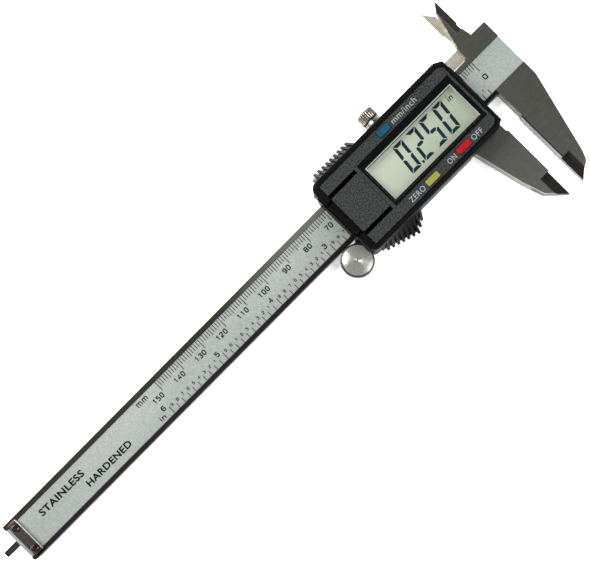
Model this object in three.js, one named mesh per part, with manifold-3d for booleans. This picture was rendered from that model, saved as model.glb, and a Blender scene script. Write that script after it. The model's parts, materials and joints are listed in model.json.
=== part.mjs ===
// Digital caliper, 150 mm, left-handed layout, drawn open by 6.35 mm (a quarter inch).
// Millimetres. +X runs along the beam towards the jaws, +Y towards the inside jaws, +Z out of the display.
// While drawing, X = 0 is the fixed outside jaw's measuring face, Y = 0 the beam's centre line
// and Z = 0 the plane that the slider's back lies on. The last lines move the whole model so that
// its origin is the bottom centre of its box.
import * as THREE from 'three';
import Module from 'manifold-3d';
import { mergeVertices } from 'three/addons/utils/BufferGeometryUtils.js';

const wasm = await Module();
wasm.setup();

// ---- driving dimensions ----
const OPENING = 6.35; // jaws open by this much at rest
const FIT = 0.1; // gap between neighbouring pieces
const PAST = 1; // how far a cutter runs past the face it cuts
const GRID = 1e4; // corners sit on a grid of 1/GRID, so faces meant to be level are exactly level

const BEAM = { left: -219.25, right: 13.85, half: 8, back: 1.5, front: 5, chamfer: 0.45 };
const STRIP = { bottom: -6.45, top: 5.85, floor: 3.9, board: 0.6, label: 0.22 }; // recess for the scale
const JAW = { tip: -48.4, step: -18.9, relief: 0.5, grind: 1.7, grindTop: -37.9, grindWidth: 4 };
const HORN = { tip: 29.4, edge: 7.6, arm: 12.4, notchLow: 15.9, notchHigh: 18.8, split: 3.28, notch: 0.5 };
const ROD = { y: 0.4, width: 2.1, back: 1.8, front: 3.2, left: -225.6, right: -10.2 };
const FRAME = {
  left: -65.7, right: -10, bottom: -14.1, top: 11.3, plate: 1.35, lipFront: 6, plateRight: -4.3,
};
const GIB = { thick: 0.7, left: -64, right: -12 };
const BOARD = { back: 6.1, front: 7.1 };

const HOUSING = { left: -67.8, right: -8.05, bottom: -16.85, top: 13.2, back: 1.1, front: 14.6, wall: 13 };
const ROUND = { width: 1.6, height: 1.8, steps: 4 }; // rounding along the housing's front edge
const SHELL = { left: -65.9, right: -9.8, bottom: -15, top: 11.5 }; // housing's inner faces
const PANEL = { left: -65.35, right: -10, bottom: -15, top: 10.8, front: 15 };
const BEZEL = { left: -52.05, right: -10.95, bottom: -11, top: 6.85, back: 13.1, front: 14.8 };
const WINDOW = { left: -51.2, right: -11.8, bottom: -9.9, top: 4.4, rim: 0.4, foot: 0.5 };
const CELL = { left: -51.9, right: -11.2, bottom: -10.4, top: 5, back: 10.8, front: 13 }; // display glass
const HOLDER = { left: -53.1, right: -10, bottom: -10.9, top: 5.7 };
const DOOR = {
  left: -65.35, right: -53.55, bottom: -9.5, top: 5.3, back: 13.9, front: 15, slot: 1.5, rail: 0.85,
};
const DOOR_RAILS = [DOOR.bottom + 0.1, DOOR.top - 0.1 - DOOR.rail];
const BATTERY = { x: -59.45, y: -2.1, radius: 5.8, back: 7.6, front: 12.9 };

const RIBS = { count: 9, first: -61.8, pitch: 1.86, width: 0.95, depth: 1, start: 11.6 };
const WHEEL = { radius: 5.8, x: -72.4, back: 1.9, front: 6.1, bore: 1.15, boreTop: 5.3, chamfer: 0.4 };
const LOCK = {
  x: -35.9, z: 3.65, head: 3.3, headLow: 15.9, headHigh: 19.6, collar: 3.15, groove: 2.6, thread: 1.5,
};
const STOP = { left: -217.65, right: -213.95, bottom: -6.9, top: 6.5, thick: 1 };
const STOP_X = (STOP.left + STOP.right) / 2;
const STOP_SCREWS = [4.2, -5];
const ROD_SCREW = { x: -12.4, headFront: 0.75, tip: 3 };
const BRACKET = {
  back: 0.2, front: 1.35, right: -57.8, top: -8.6, screws: [-60, -64], screwY: -11.4, radius: 5,
};

const BUTTONS = [
  { name: 'button_mm_inch', x: -37.85, y: 8.95, width: 4.8, depth: 2.3, material: 'blue' },
  { name: 'button_zero', x: -37.75, y: -13.25, width: 5.2, depth: 2.1, material: 'yellow' },
  { name: 'button_on_off', x: -23.45, y: -13.05, width: 5.4, depth: 2.1, material: 'red' },
];
const BUTTON = { front: 15.3, flangeBack: 12.1, flangeFront: 12.85, stemBack: 9.9 };
const SWITCH = { size: 3, front: 9.1 };

const BACK_SCREWS = [[-56, -12.6], [-12.2, -12.6], [-56, 9.9], [-12.2, 9.9]];
const BACK_SCREW = { shank: 0.75, head: 1.2, headFront: 0.95, tip: 11 };
const GIB_SCREWS = [-44.4, -20];

const WHEEL_Y = -BEAM.half - WHEEL.radius - FIT;

// ---- materials ----
function finish(color, metalness, roughness, more = {}) {
  return new THREE.MeshStandardMaterial({ color, metalness, roughness, ...more });
}
const MATERIALS = {
  steel: finish(0x96948c, 1, 0.36),
  movingSteel: finish(0xa9a498, 1, 0.34),
  label: finish(0xacb6b1, 0.1, 0.45),
  board: finish(0x2f6b3c, 0, 0.55),
  brass: finish(0xb8944f, 1, 0.35),
  blackPlastic: finish(0x0b0b0c, 0, 0.22),
  panel: finish(0x414644, 0, 0.7),
  gloss: finish(0x060607, 0, 0.08),
  clear: finish(0xe8efe8, 0, 0.04, { transparent: true, opacity: 0.35 }),
  display: finish(0xc8d4b6, 0, 0.25),
  rubber: finish(0x3a3c3e, 0, 0.8),
  chrome: finish(0xd7d8da, 1, 0.14),
  chip: finish(0x121214, 0, 0.5),
  blue: finish(0x1e6991, 0, 0.4),
  yellow: finish(0xafaf4b, 0, 0.4),
  red: finish(0xc81423, 0, 0.4),
};

// ---- solids ----
const caliper = new THREE.Group();

function solid(geometry) {
  geometry.deleteAttribute('normal');
  geometry.deleteAttribute('uv');
  const merged = mergeVertices(geometry, 1 / GRID);
  const corners = Array.from(merged.attributes.position.array, (value) => Math.round(value * GRID) / GRID);
  return new wasm.Manifold(new wasm.Mesh({
    numProp: 3,
    vertProperties: new Float32Array(corners),
    triVerts: new Uint32Array(merged.index.array),
  }));
}

function join(...solids) {
  return solids.reduce((whole, next) => whole.add(next));
}

function cut(body, ...cutters) {
  return cutters.reduce((whole, next) => whole.subtract(next), body);
}

function piece(name, body, material) {
  const { vertProperties, triVerts } = body.getMesh();
  const geometry = new THREE.BufferGeometry();
  geometry.setAttribute('position', new THREE.BufferAttribute(vertProperties, 3));
  geometry.setIndex(new THREE.BufferAttribute(triVerts, 1));
  geometry.computeVertexNormals();
  const mesh = new THREE.Mesh(geometry, MATERIALS[material]);
  mesh.name = name;
  caliper.add(mesh);
}

// An outline from corners [x, y, radius]; a corner with a radius is rounded by an arc.
function outline(corners, steps = 5) {
  const points = [];
  corners.forEach(([x, y, radius], index) => {
    const here = new THREE.Vector2(x, y);
    if (!radius) {
      points.push(here);
      return;
    }
    const last = corners[(index + corners.length - 1) % corners.length];
    const next = corners[(index + 1) % corners.length];
    const back = new THREE.Vector2(last[0] - x, last[1] - y).normalize();
    const ahead = new THREE.Vector2(next[0] - x, next[1] - y).normalize();
    const half = Math.acos(THREE.MathUtils.clamp(back.dot(ahead), -1, 1)) / 2;
    const middle = back.clone().add(ahead).normalize();
    const centre = here.clone().addScaledVector(middle, radius / Math.sin(half));
    const start = here.clone().addScaledVector(back, radius / Math.tan(half)).sub(centre);
    const end = here.clone().addScaledVector(ahead, radius / Math.tan(half)).sub(centre);
    const from = start.angle();
    let sweep = end.angle() - from;
    if (sweep > Math.PI) sweep -= 2 * Math.PI;
    if (sweep < -Math.PI) sweep += 2 * Math.PI;
    for (let step = 0; step <= steps; step += 1) {
      const angle = from + (sweep * step) / steps;
      const reach = new THREE.Vector2(Math.cos(angle), Math.sin(angle)).multiplyScalar(radius);
      points.push(centre.clone().add(reach));
    }
  });
  return new THREE.Shape(points);
}

// A plate: an outline in X and Y, between two heights.
function plate(corners, low, high, steps) {
  const shape = outline(corners, steps);
  const geometry = new THREE.ExtrudeGeometry(shape, { depth: high - low, bevelEnabled: false });
  return solid(geometry.translate(0, 0, low));
}

// A bar along X: an outline in Y and Z, between two places on X.
function bar(corners, left, right) {
  const geometry = new THREE.ExtrudeGeometry(outline(corners), { depth: right - left, bevelEnabled: false });
  return solid(geometry.rotateZ(Math.PI / 2).rotateY(Math.PI / 2).translate(left, 0, 0));
}

// A bar along Y: an outline in X and Z, between two places on Y.
function cross(corners, low, high) {
  const geometry = new THREE.ExtrudeGeometry(outline(corners), { depth: high - low, bevelEnabled: false });
  return solid(geometry.rotateX(Math.PI / 2).translate(0, high, 0));
}

function block(left, right, bottom, top, low, high) {
  const geometry = new THREE.BoxGeometry(right - left, top - bottom, high - low);
  return solid(geometry.translate((left + right) / 2, (bottom + top) / 2, (low + high) / 2));
}

// A box given by an object with left, right, bottom and top, grown by a margin all round.
function area(box, low, high, margin = 0) {
  return block(box.left - margin, box.right + margin, box.bottom - margin, box.top + margin, low, high);
}

function round(radius, x, y, low, high, sides = 24) {
  const geometry = new THREE.CylinderGeometry(radius, radius, high - low, sides);
  return solid(geometry.rotateX(Math.PI / 2).translate(x, y, (low + high) / 2));
}

function roundY(radius, x, z, low, high, sides = 24) {
  const geometry = new THREE.CylinderGeometry(radius, radius, high - low, sides);
  return solid(geometry.translate(x, (low + high) / 2, z));
}

// A turned solid about Z from [radius, height] pairs that start and end on the axis.
function turned(profile, x, y, sides = 24) {
  const points = profile.map(([radius, height]) => new THREE.Vector2(radius, height));
  return solid(new THREE.LatheGeometry(points, sides).rotateX(Math.PI / 2).translate(x, y, 0));
}

// A cross recess for a Phillips driver, cut down from height top.
function crossRecess(x, y, top, size, depth) {
  return join(
    block(x - size, x + size, y - size * 0.22, y + size * 0.22, top - depth, top + PAST),
    block(x - size * 0.22, x + size * 0.22, y - size, y + size, top - depth, top + PAST),
  );
}

// ---- beam with the fixed jaws ----
function horn(edge, side, low, high) {
  // side +1: the knife edge faces +X and the horn leans to -X; side -1: the mirror image
  return plate([
    [edge, HORN.tip],
    [edge - side * 2.85, 25.6],
    [edge - side * 4.35, 19.4],
    [edge - side * 5.65, 14.9],
    [edge - side * 6.15, HORN.arm],
    [edge - side * 6.35, BEAM.half - 0.5],
    [edge, BEAM.half - 0.5],
    [edge, HORN.arm + 0.6],
    [edge - side * HORN.notch, HORN.notchLow - 0.5],
    [edge - side * HORN.notch, HORN.notchHigh - 0.3],
    [edge, HORN.notchHigh],
  ], low, high);
}

// A wedge that grinds a horn's measuring edge thin, from one face only.
function hornGrind(edge, side, face, keep) {
  const away = Math.sign(face - keep);
  return cross([
    [edge - side * 3.05, face + away * 0.02],
    [edge + side * 0.02, keep],
    [edge + side * PAST, keep],
    [edge + side * PAST, face + away * PAST],
    [edge - side * 3.05, face + away * PAST],
  ], HORN.notchLow + 0.2, HORN.tip + PAST);
}

// The cutter that grinds an outside jaw's tip thin from its front face.
function tipGrind(contact, side) {
  const low = BEAM.front - JAW.grind;
  return cross([
    [contact - side * PAST, BEAM.front + PAST],
    [contact - side * PAST, low],
    [contact + side * (JAW.grindWidth - 1.2), low, 1.2],
    [contact + side * (JAW.grindWidth + 0.2), BEAM.front + 0.1],
    [contact + side * (JAW.grindWidth + 0.2), BEAM.front + PAST],
  ], JAW.tip - PAST, JAW.grindTop);
}

function makeBeam() {
  const { left, right, half, back, front } = BEAM;
  const profile = plate([
    [left, -half, 0.8],
    [JAW.relief, -half, 0.5],
    [JAW.relief, JAW.step + 0.5],
    [0, JAW.step],
    [0, JAW.tip],
    [2.6, -46.2, 2.5],
    [5.1, -43.9, 2.5],
    [6.3, -41, 3],
    [right - 0.2, -12.1, 2],
    [right, half, 0.4],
    [left, half, 0.8],
  ], back, front);
  const arm = plate([
    [1, half - 0.5],
    [HORN.edge + 0.3, half - 0.5],
    [right, half - 0.5],
    [right, HORN.arm, 0.5],
    [HORN.edge - 0.2, HORN.arm],
    [1, HORN.arm],
  ], HORN.split + 0.07, front);
  const topChamfer = bar([
    [half - BEAM.chamfer, front + 0.01],
    [half + 0.01, front - BEAM.chamfer],
    [half + PAST, front - BEAM.chamfer],
    [half + PAST, front + PAST],
    [half - BEAM.chamfer, front + PAST],
  ], left - PAST, 0.4);
  const bottomChamfer = bar([
    [-half - 0.01, front - 0.3],
    [-half + 0.3, front + 0.01],
    [-half + 0.3, front + PAST],
    [-half - PAST, front + PAST],
    [-half - PAST, front - 0.3],
  ], left - PAST, 0.2);
  const recess = block(left - PAST, right + PAST, STRIP.bottom, STRIP.top, STRIP.floor, front + PAST);
  const grooveHalf = ROD.width / 2 + 0.2;
  const groove = block(
    left - PAST, -3, ROD.y - grooveHalf, ROD.y + grooveHalf, back - PAST, ROD.front + 0.15,
  );
  const bores = STOP_SCREWS.map((y) => round(0.75, STOP_X, y, back + 0.6, front, 12));
  return cut(
    join(profile, arm, horn(HORN.edge, 1, HORN.split + 0.07, front)),
    topChamfer,
    bottomChamfer,
    recess,
    groove,
    hornGrind(HORN.edge, 1, front, HORN.split + 0.35),
    tipGrind(0, 1),
    ...bores,
  );
}

// ---- scale strip and end stop ----
function makeScale() {
  const inset = 0.08;
  const boardTop = STRIP.floor + 0.05 + STRIP.board;
  const holes = (low, high) => STOP_SCREWS.map((y) => round(0.95, STOP_X, y, low - PAST, high + PAST, 12));
  const strip = (low, high) => cut(
    block(BEAM.left + 0.1, BEAM.right - 0.15, STRIP.bottom + inset, STRIP.top - inset, low, high),
    ...holes(low, high),
  );
  piece('stator_board', strip(STRIP.floor + 0.05, boardTop), 'board');
  piece('scale_label', strip(boardTop + 0.05, boardTop + 0.05 + STRIP.label), 'label');
}

function makeStop() {
  const low = BEAM.front + 0.05;
  const high = low + STOP.thick;
  const holes = STOP_SCREWS.map((y) => round(0.95, STOP_X, y, low - PAST, high + PAST, 12));
  const stop = plate([
    [STOP.left, STOP.bottom, 0.3],
    [STOP.right, STOP.bottom, 0.3],
    [STOP.right, STOP.top, 0.3],
    [STOP.left, STOP.top, 0.3],
  ], low, high, 2);
  piece('stop_plate', cut(stop, ...holes), 'steel');
  STOP_SCREWS.forEach((y, index) => {
    const screw = turned([
      [0, BEAM.back + 0.8],
      [0.65, BEAM.back + 0.8],
      [0.65, high + 0.05],
      [1.45, high + 0.05],
      [1.45, high + 0.45],
      [1.05, high + 0.8],
      [0, high + 0.95],
    ], STOP_X, y, 20);
    const recess = crossRecess(STOP_X, y, high + 0.95, 0.85, 0.5);
    piece(`stop_plate_screw_${index + 1}`, cut(screw, recess), 'steel');
  });
}

// ---- slider frame with the moving jaws ----
function makeSliderFrame() {
  const jaw = -OPENING; // measuring face of the moving outside jaw
  const edge = HORN.edge - OPENING; // knife edge of the moving horn
  const { left, right, bottom, top, plate: plateTop, lipFront } = FRAME;
  const half = BEAM.half;
  const back = plate([
    [left, bottom, 0.8],
    [FRAME.plateRight, bottom, 1.3],
    [FRAME.plateRight, top, 1.3],
    [left, top, 0.8],
  ], 0, plateTop);
  const lowerWall = block(left, right, bottom, -half - FIT, plateTop - 0.5, lipFront);
  const upperWall = block(left, right, half + 0.9, top, plateTop - 0.5, lipFront);
  const lowerLip = block(left, right, -half - 0.5, STRIP.bottom + 0.15, BEAM.front + 0.08, lipFront);
  const upperLip = block(left, right, STRIP.top - 0.05, half + 1, BEAM.front + 0.08, lipFront);
  const lowerJaw = plate([
    [jaw - 0.55, -half - FIT, 0.3],
    [-20.6, -half - FIT],
    [-20.3, bottom],
    [-19.5, -16.3],
    [-15.1, -34.6],
    [-12.6, -42.4, 1.5],
    [jaw, JAW.tip],
    [jaw, JAW.step],
    [jaw - 0.55, JAW.step + 0.5],
  ], plateTop - 0.5, BEAM.front);
  // the arm is full thickness up to where the fixed arm comes when the jaws close, then half
  const armBack = plate([
    [right - 0.3, half + 0.9],
    [right + 1.2, half + FIT],
    [edge + 5, half + FIT],
    [edge + 6.15, half + FIT],
    [edge + 6.15, HORN.arm - 0.1],
    [edge, HORN.arm - 0.1],
    [right + 1.5, HORN.arm, 0.4],
    [right + 1.5, top],
    [right - 0.3, top],
  ], plateTop - 0.5, HORN.split - 0.03);
  const armFront = plate([
    [right - 0.3, half + 0.9],
    [right + 1.2, half + FIT],
    [-OPENING + 0.25, half + FIT],
    [-OPENING + 0.25, HORN.arm, 0.5],
    [right + 1.5, HORN.arm, 0.4],
    [right + 1.5, top],
    [right - 0.3, top],
  ], plateTop - 0.5, BEAM.front);
  const movingHorn = horn(edge, -1, BEAM.back, HORN.split - 0.03);
  // clears the beam's edge
  const hornRoot = block(edge - 1, edge + 6.5, half - 0.6, half + FIT, 0, BEAM.front);
  const { shank, head, headFront } = BACK_SCREW;
  const screwHoles = BACK_SCREWS.map(([x, y]) => round(shank + 0.15, x, y, -PAST, lipFront + PAST, 12));
  const screwSeats = BACK_SCREWS.map(([x, y]) => round(head + 0.15, x, y, -PAST, headFront, 16));
  const gibHoles = GIB_SCREWS.map((x) => roundY(1.1, x, LOCK.z, half, top + PAST, 12));
  const lockHole = roundY(LOCK.thread + 0.12, LOCK.x, LOCK.z, half, top + PAST, 20);
  const bracketSeat = block(
    left - PAST, BRACKET.right + FIT, bottom - PAST, BRACKET.top + FIT, -PAST, BRACKET.front + FIT,
  );
  const bracketBores = BRACKET.screws.map((x) => round(0.7, x, BRACKET.screwY, 1, 5, 12));
  const rodSeat = round(1.35, ROD_SCREW.x, ROD.y, -PAST, ROD_SCREW.headFront + 0.05, 16);
  const rodHole = round(0.7, ROD_SCREW.x, ROD.y, -PAST, plateTop + PAST, 12);
  return cut(
    join(
      back, lowerWall, upperWall, lowerLip, upperLip,
      lowerJaw, armBack, armFront, cut(movingHorn, hornRoot),
    ),
    hornGrind(edge, -1, BEAM.back, HORN.split - 0.4),
    tipGrind(jaw, -1),
    ...screwHoles,
    ...screwSeats,
    ...gibHoles,
    lockHole,
    bracketSeat,
    ...bracketBores,
    rodSeat,
    rodHole,
  );
}

function makeGib() {
  const low = BEAM.half + FIT;
  const strip = block(GIB.left, GIB.right, low, low + GIB.thick, BEAM.back + 0.1, BEAM.front - 0.05);
  piece('gib_strip', strip, 'brass');
  GIB_SCREWS.forEach((x, index) => {
    const screw = roundY(1, x, LOCK.z, low + GIB.thick + 0.05, FRAME.top - 0.1, 12);
    const slot = block(x - 2, x + 2, FRAME.top - 0.7, FRAME.top + PAST, LOCK.z - 0.2, LOCK.z + 0.2);
    piece(`gib_screw_${index + 1}`, cut(screw, slot), 'steel');
  });
}

// ---- depth rod ----
function makeDepthRod() {
  const low = ROD.y - ROD.width / 2;
  const high = ROD.y + ROD.width / 2;
  const rod = plate([
    [ROD.left, low, 0.2],
    [ROD.right, low, 0.4],
    [ROD.right, high, 0.4],
    [ROD.left, high, 0.2],
  ], ROD.back, ROD.front);
  const foot = block(ROD.right - 5, ROD.right, low, high, FRAME.plate + 0.05, ROD.back + 0.2);
  piece('depth_rod', cut(join(rod, foot), round(0.6, ROD_SCREW.x, ROD.y, 0, ROD.front + PAST, 12)), 'steel');
  const screw = turned([
    [0, 0.1],
    [1.25, 0.1],
    [1.25, ROD_SCREW.headFront],
    [0.5, ROD_SCREW.headFront],
    [0.5, ROD_SCREW.tip],
    [0, ROD_SCREW.tip],
  ], ROD_SCREW.x, ROD.y, 16);
  const slot = block(ROD_SCREW.x - 2, ROD_SCREW.x + 2, ROD.y - 0.18, ROD.y + 0.18, -PAST, 0.4);
  piece('depth_rod_screw', cut(screw, slot), 'steel');
}

// ---- thumb wheel ----
function makeWheel() {
  const { back, front, screws, screwY } = BRACKET;
  const tongue = plate([
    [WHEEL.x, WHEEL_Y - 3],
    [FRAME.left + 1, FRAME.bottom + 0.1],
    [BRACKET.right, FRAME.bottom + 0.1, 0.6],
    [BRACKET.right, BRACKET.top, 0.6],
    [WHEEL.x, BRACKET.top],
  ], back, front);
  const disc = round(BRACKET.radius, WHEEL.x, WHEEL_Y, back, front, 32);
  const holes = screws.map((x) => round(0.85, x, screwY, back - PAST, front + PAST, 12));
  const seats = screws.map((x) => round(1.5, x, screwY, back - PAST, back + 0.55, 16));
  const axleHole = round(0.95, WHEEL.x, WHEEL_Y, back - PAST, front + PAST, 16);
  piece('wheel_bracket', cut(join(tongue, disc), ...holes, ...seats, axleHole), 'steel');

  screws.forEach((x, index) => {
    const screw = turned([
      [0, back + 0.05],
      [1.35, back + 0.05],
      [1.35, back + 0.5],
      [0.6, back + 0.5],
      [0.6, 4.6],
      [0, 4.6],
    ], x, screwY, 16);
    const slot = block(x - 2, x + 2, screwY - 0.18, screwY + 0.18, back - PAST, back + 0.28);
    piece(`wheel_bracket_screw_${index + 1}`, cut(screw, slot), 'steel');
  });

  const axle = turned([
    [0, back + 0.1],
    [0.85, back + 0.1],
    [0.85, front + 0.05],
    [1.8, front + 0.05],
    [1.8, WHEEL.back - 0.1],
    [WHEEL.bore - 0.1, WHEEL.back - 0.1],
    [WHEEL.bore - 0.1, WHEEL.boreTop - 0.1],
    [0, WHEEL.boreTop - 0.1],
  ], WHEEL.x, WHEEL_Y, 20);
  piece('wheel_axle', axle, 'steel');

  const { radius, back: low, front: high, bore, boreTop, chamfer } = WHEEL;
  const wheel = turned([
    [0, boreTop],
    [bore, boreTop],
    [bore, low],
    [radius - chamfer, low],
    [radius, low + chamfer],
    [radius, high - chamfer],
    [radius - chamfer, high],
    [0.35, high],
    [0, high - 0.2],
  ], WHEEL.x, WHEEL_Y, 36);
  piece('thumb_wheel', wheel, 'steel');
}

// ---- lock screw ----
function makeLockScrew() {
  const { x, z, head, headLow, headHigh, collar, groove, thread } = LOCK;
  const tip = BEAM.half + FIT + GIB.thick + 0.05;
  const points = [
    [0, tip],
    [thread - 0.3, tip],
    [thread, tip + 0.3],
    [thread, HOUSING.top + 0.15],
    [collar, HOUSING.top + 0.15],
    [collar, headLow - 0.3],
    [groove, headLow - 0.3],
    [groove, headLow],
    [head - 0.3, headLow],
    [head, headLow + 0.3],
    [head, headHigh - 0.4],
    [head - 0.4, headHigh],
    [0, headHigh],
  ].map(([radius, height]) => new THREE.Vector2(radius, height));
  piece('lock_screw', solid(new THREE.LatheGeometry(points, 28).translate(x, 0, z)), 'chrome');
}

// ---- housing ----
function housingOutline() {
  const { left, right, bottom, top } = HOUSING;
  return [
    [left, bottom, 3],
    [right - 2.8, bottom],
    [right, bottom + 1.6],
    [right, top - 1.6],
    [right - 2.8, top],
    [left, top, 3],
  ];
}

// The side of the housing swells a little where it bridges the beam.
function endSwell(x, out) {
  const { back, wall } = HOUSING;
  return plate([
    [x - out * 1, -BEAM.half - 1],
    [x, -BEAM.half - 1],
    [x + out * 0.45, -BEAM.half - 0.2],
    [x + out * 0.45, BEAM.half + 0.5],
    [x, BEAM.half + 1.3],
    [x - out * 1, BEAM.half + 1.3],
  ], back, wall - 0.4);
}

// Ribbed thumb grip on one long side. The ribs slope out from the front edge to the back.
function grip(side, wallY, tips) {
  const { first, pitch, width, depth, start } = RIBS;
  const wedge = (from, to, tip) => bar([
    [wallY - side * 0.6, start],
    [wallY, start],
    [tip, HOUSING.back],
    [wallY - side * 0.6, HOUSING.back],
  ], from, to);
  const middle = (index) => first + index * pitch;
  const ribs = tips.map((tip, index) => wedge(middle(index) - width / 2, middle(index) + width / 2, tip));
  const sunk = side * (depth + 0.2);
  const valleys = tips.map((tip, index) => wedge(middle(index - 1), middle(index), tip - sunk));
  return join(...ribs, ...valleys);
}

function lowerTips() {
  const peak = 6; // the ribs grow up to this one, then fall away
  const tips = [];
  for (let index = 0; index < RIBS.count; index += 1) {
    tips.push(-18.6 - 0.57 * Math.min(index, peak) + 1.25 * Math.max(0, index - peak));
  }
  return tips;
}

// Cutters for the buttons' openings.
function buttonWays(low, high) {
  const gap = 0.15;
  return BUTTONS.map(({ x, y, width, depth }) => block(
    x - width / 2 - gap, x + width / 2 + gap, y - depth / 2 - gap, y + depth / 2 + gap, low, high,
  ));
}

function makeHousing() {
  const { left, right, bottom, top, back, front, wall } = HOUSING;
  const shell = new THREE.ExtrudeGeometry(outline(housingOutline()), {
    depth: front - ROUND.height,
    bevelEnabled: true,
    bevelThickness: ROUND.height,
    bevelSize: ROUND.width,
    bevelOffset: -ROUND.width,
    bevelSegments: ROUND.steps,
  });
  const lowerPart = block(left - 10, right + 10, bottom - 10, top + 10, -10, back);
  const outer = join(
    cut(solid(shell), lowerPart),
    endSwell(left, -1),
    endSwell(right, 1),
    grip(-1, bottom, lowerTips()),
    grip(1, top, new Array(RIBS.count).fill(HOUSING.top + 4.4)),
  );

  const hollow = area(SHELL, back - PAST, wall);
  const { lipFront } = FRAME;
  const bosses = BACK_SCREWS.map(([x, y]) => round(1.4, x, y, lipFront + 0.3, wall + 0.5, 16));
  const { shank, tip: screwTip } = BACK_SCREW;
  const bossBores = BACK_SCREWS.map(([x, y]) => round(shank + 0.05, x, y, lipFront, screwTip + 0.3, 12));
  const pocketFloor = block(
    SHELL.left - 0.5, DOOR.right + 0.4,
    DOOR.bottom - DOOR.slot - 0.8, DOOR.top + DOOR.slot + 0.8,
    11.9, wall + 0.5,
  );

  // ways out of the shell for the beam, the jaws, the arm, the bracket, the rod and the screws
  const lipWay = lipFront + 0.15;
  const beamWay = block(left - 2, right + 2, -BEAM.half - 0.35, SHELL.top, back - PAST, lipWay);
  const jawWay = block(-21.2, right + 2, bottom - PAST, -BEAM.half, back - PAST, BEAM.front + 0.3);
  const jawSide = block(SHELL.right - 0.5, right + 2, FRAME.bottom - 0.2, -BEAM.half, back - PAST, lipWay);
  const armWay = block(SHELL.right - 0.4, right + 2, BEAM.half, top + PAST, back - PAST, lipWay);
  const bracketWay = block(
    left - 6, SHELL.left + 2, SHELL.bottom, -BEAM.half, back - PAST, FRAME.plate + 0.3,
  );
  const lockWay = roundY(LOCK.thread + 0.4, LOCK.x, LOCK.z, SHELL.top - PAST, top + PAST, 20);
  const wheelWay = round(WHEEL.radius + 0.25, WHEEL.x, WHEEL_Y, back - PAST, WHEEL.front + 0.25, 36);
  const gibWays = GIB_SCREWS.map((x) => roundY(1.2, x, LOCK.z, SHELL.top - PAST, top + 6, 12));

  // openings in the front
  const bezelHole = area(BEZEL, wall - PAST, front + PAST, FIT);
  const doorPocket = block(
    DOOR.left - 0.05, DOOR.right + 0.05, DOOR.bottom - DOOR.slot, DOOR.top + DOOR.slot, wall, front + PAST,
  );
  const doorWay = block(
    left - 2, DOOR.left + 1, DOOR.bottom - 0.15, DOOR.top + 0.15, DOOR.back - 0.1, front + PAST,
  );
  const railWays = DOOR_RAILS.map((y) => block(
    left - 2, DOOR.left + 1, y - 0.1, y + DOOR.rail + 0.1, wall, front,
  ));
  const cellHole = block(
    DOOR.left - 0.05, DOOR.right + 0.05, DOOR.bottom + 0.4, DOOR.top - 0.4, wall - 2, front,
  );
  const buttonHoles = buttonWays(wall - PAST, front + PAST);

  const body = join(cut(outer, hollow), ...bosses, pocketFloor);
  piece('housing', cut(
    body, ...bossBores, beamWay, jawWay, jawSide, armWay, bracketWay, wheelWay, lockWay, ...gibWays,
    bezelHole, doorPocket, doorWay, ...railWays, cellHole, ...buttonHoles,
  ), 'blackPlastic');
}

function makePanel() {
  const { left, right, bottom, top, front } = PANEL;
  const low = HOUSING.front + 0.05;
  const sheet = plate([
    [left, bottom, 0.5],
    [right - 1.6, bottom],
    [right, bottom + 1.3],
    [right, top - 1.3],
    [right - 1.6, top],
    [left, top, 0.5],
  ], low, front, 3);
  const doorGap = block(
    left - PAST, DOOR.right + 0.1, DOOR.bottom - DOOR.slot, DOOR.top + DOOR.slot, low - PAST, front + PAST,
  );
  const bezelGap = area(BEZEL, low - PAST, front + PAST, 0.12);
  const buttonGaps = buttonWays(low - PAST, front + PAST);
  piece('face_panel', cut(sheet, doorGap, bezelGap, ...buttonGaps), 'panel');
}

// ---- battery and its door ----

function makeDoor() {
  const { left, right, bottom, top, back, front, rail } = DOOR;
  const cover = plate([
    [left, bottom, 0.5],
    [right, bottom, 0.3],
    [right, top, 0.3],
    [left, top, 0.5],
  ], back, front, 3);
  const railBack = HOUSING.wall + 0.1;
  const rails = DOOR_RAILS.map((y) => block(left + 0.4, right - 0.4, y, y + rail, railBack, back + 0.2));
  piece('battery_door', join(cover, ...rails), 'panel');
}

function makeBattery() {
  const { x, y, radius, back, front } = BATTERY;
  piece('battery', turned([
    [0, back],
    [radius - 1, back],
    [radius - 1, back + 0.5],
    [radius, back + 0.6],
    [radius, front - 0.2],
    [radius - 0.2, front],
    [0, front],
  ], x, y, 36), 'chrome');
  const spring = plate([
    [x - 3.2, y - 1.2, 0.4],
    [x + 3.2, y - 1.2, 0.4],
    [x + 3.2, y + 1.2, 0.4],
    [x - 3.2, y + 1.2, 0.4],
  ], BOARD.front + 0.05, back - 0.1, 2);
  piece('battery_contact_minus', spring, 'brass');
  const side = y + radius + 0.15;
  const strap = join(
    block(x - 2, x + 2, side, side + 0.3, BOARD.front + 0.05, 11.6),
    block(x - 2, x + 2, side, side + 1.8, BOARD.front + 0.05, BOARD.front + 0.35),
  );
  piece('battery_contact_plus', strap, 'brass');
}

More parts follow.
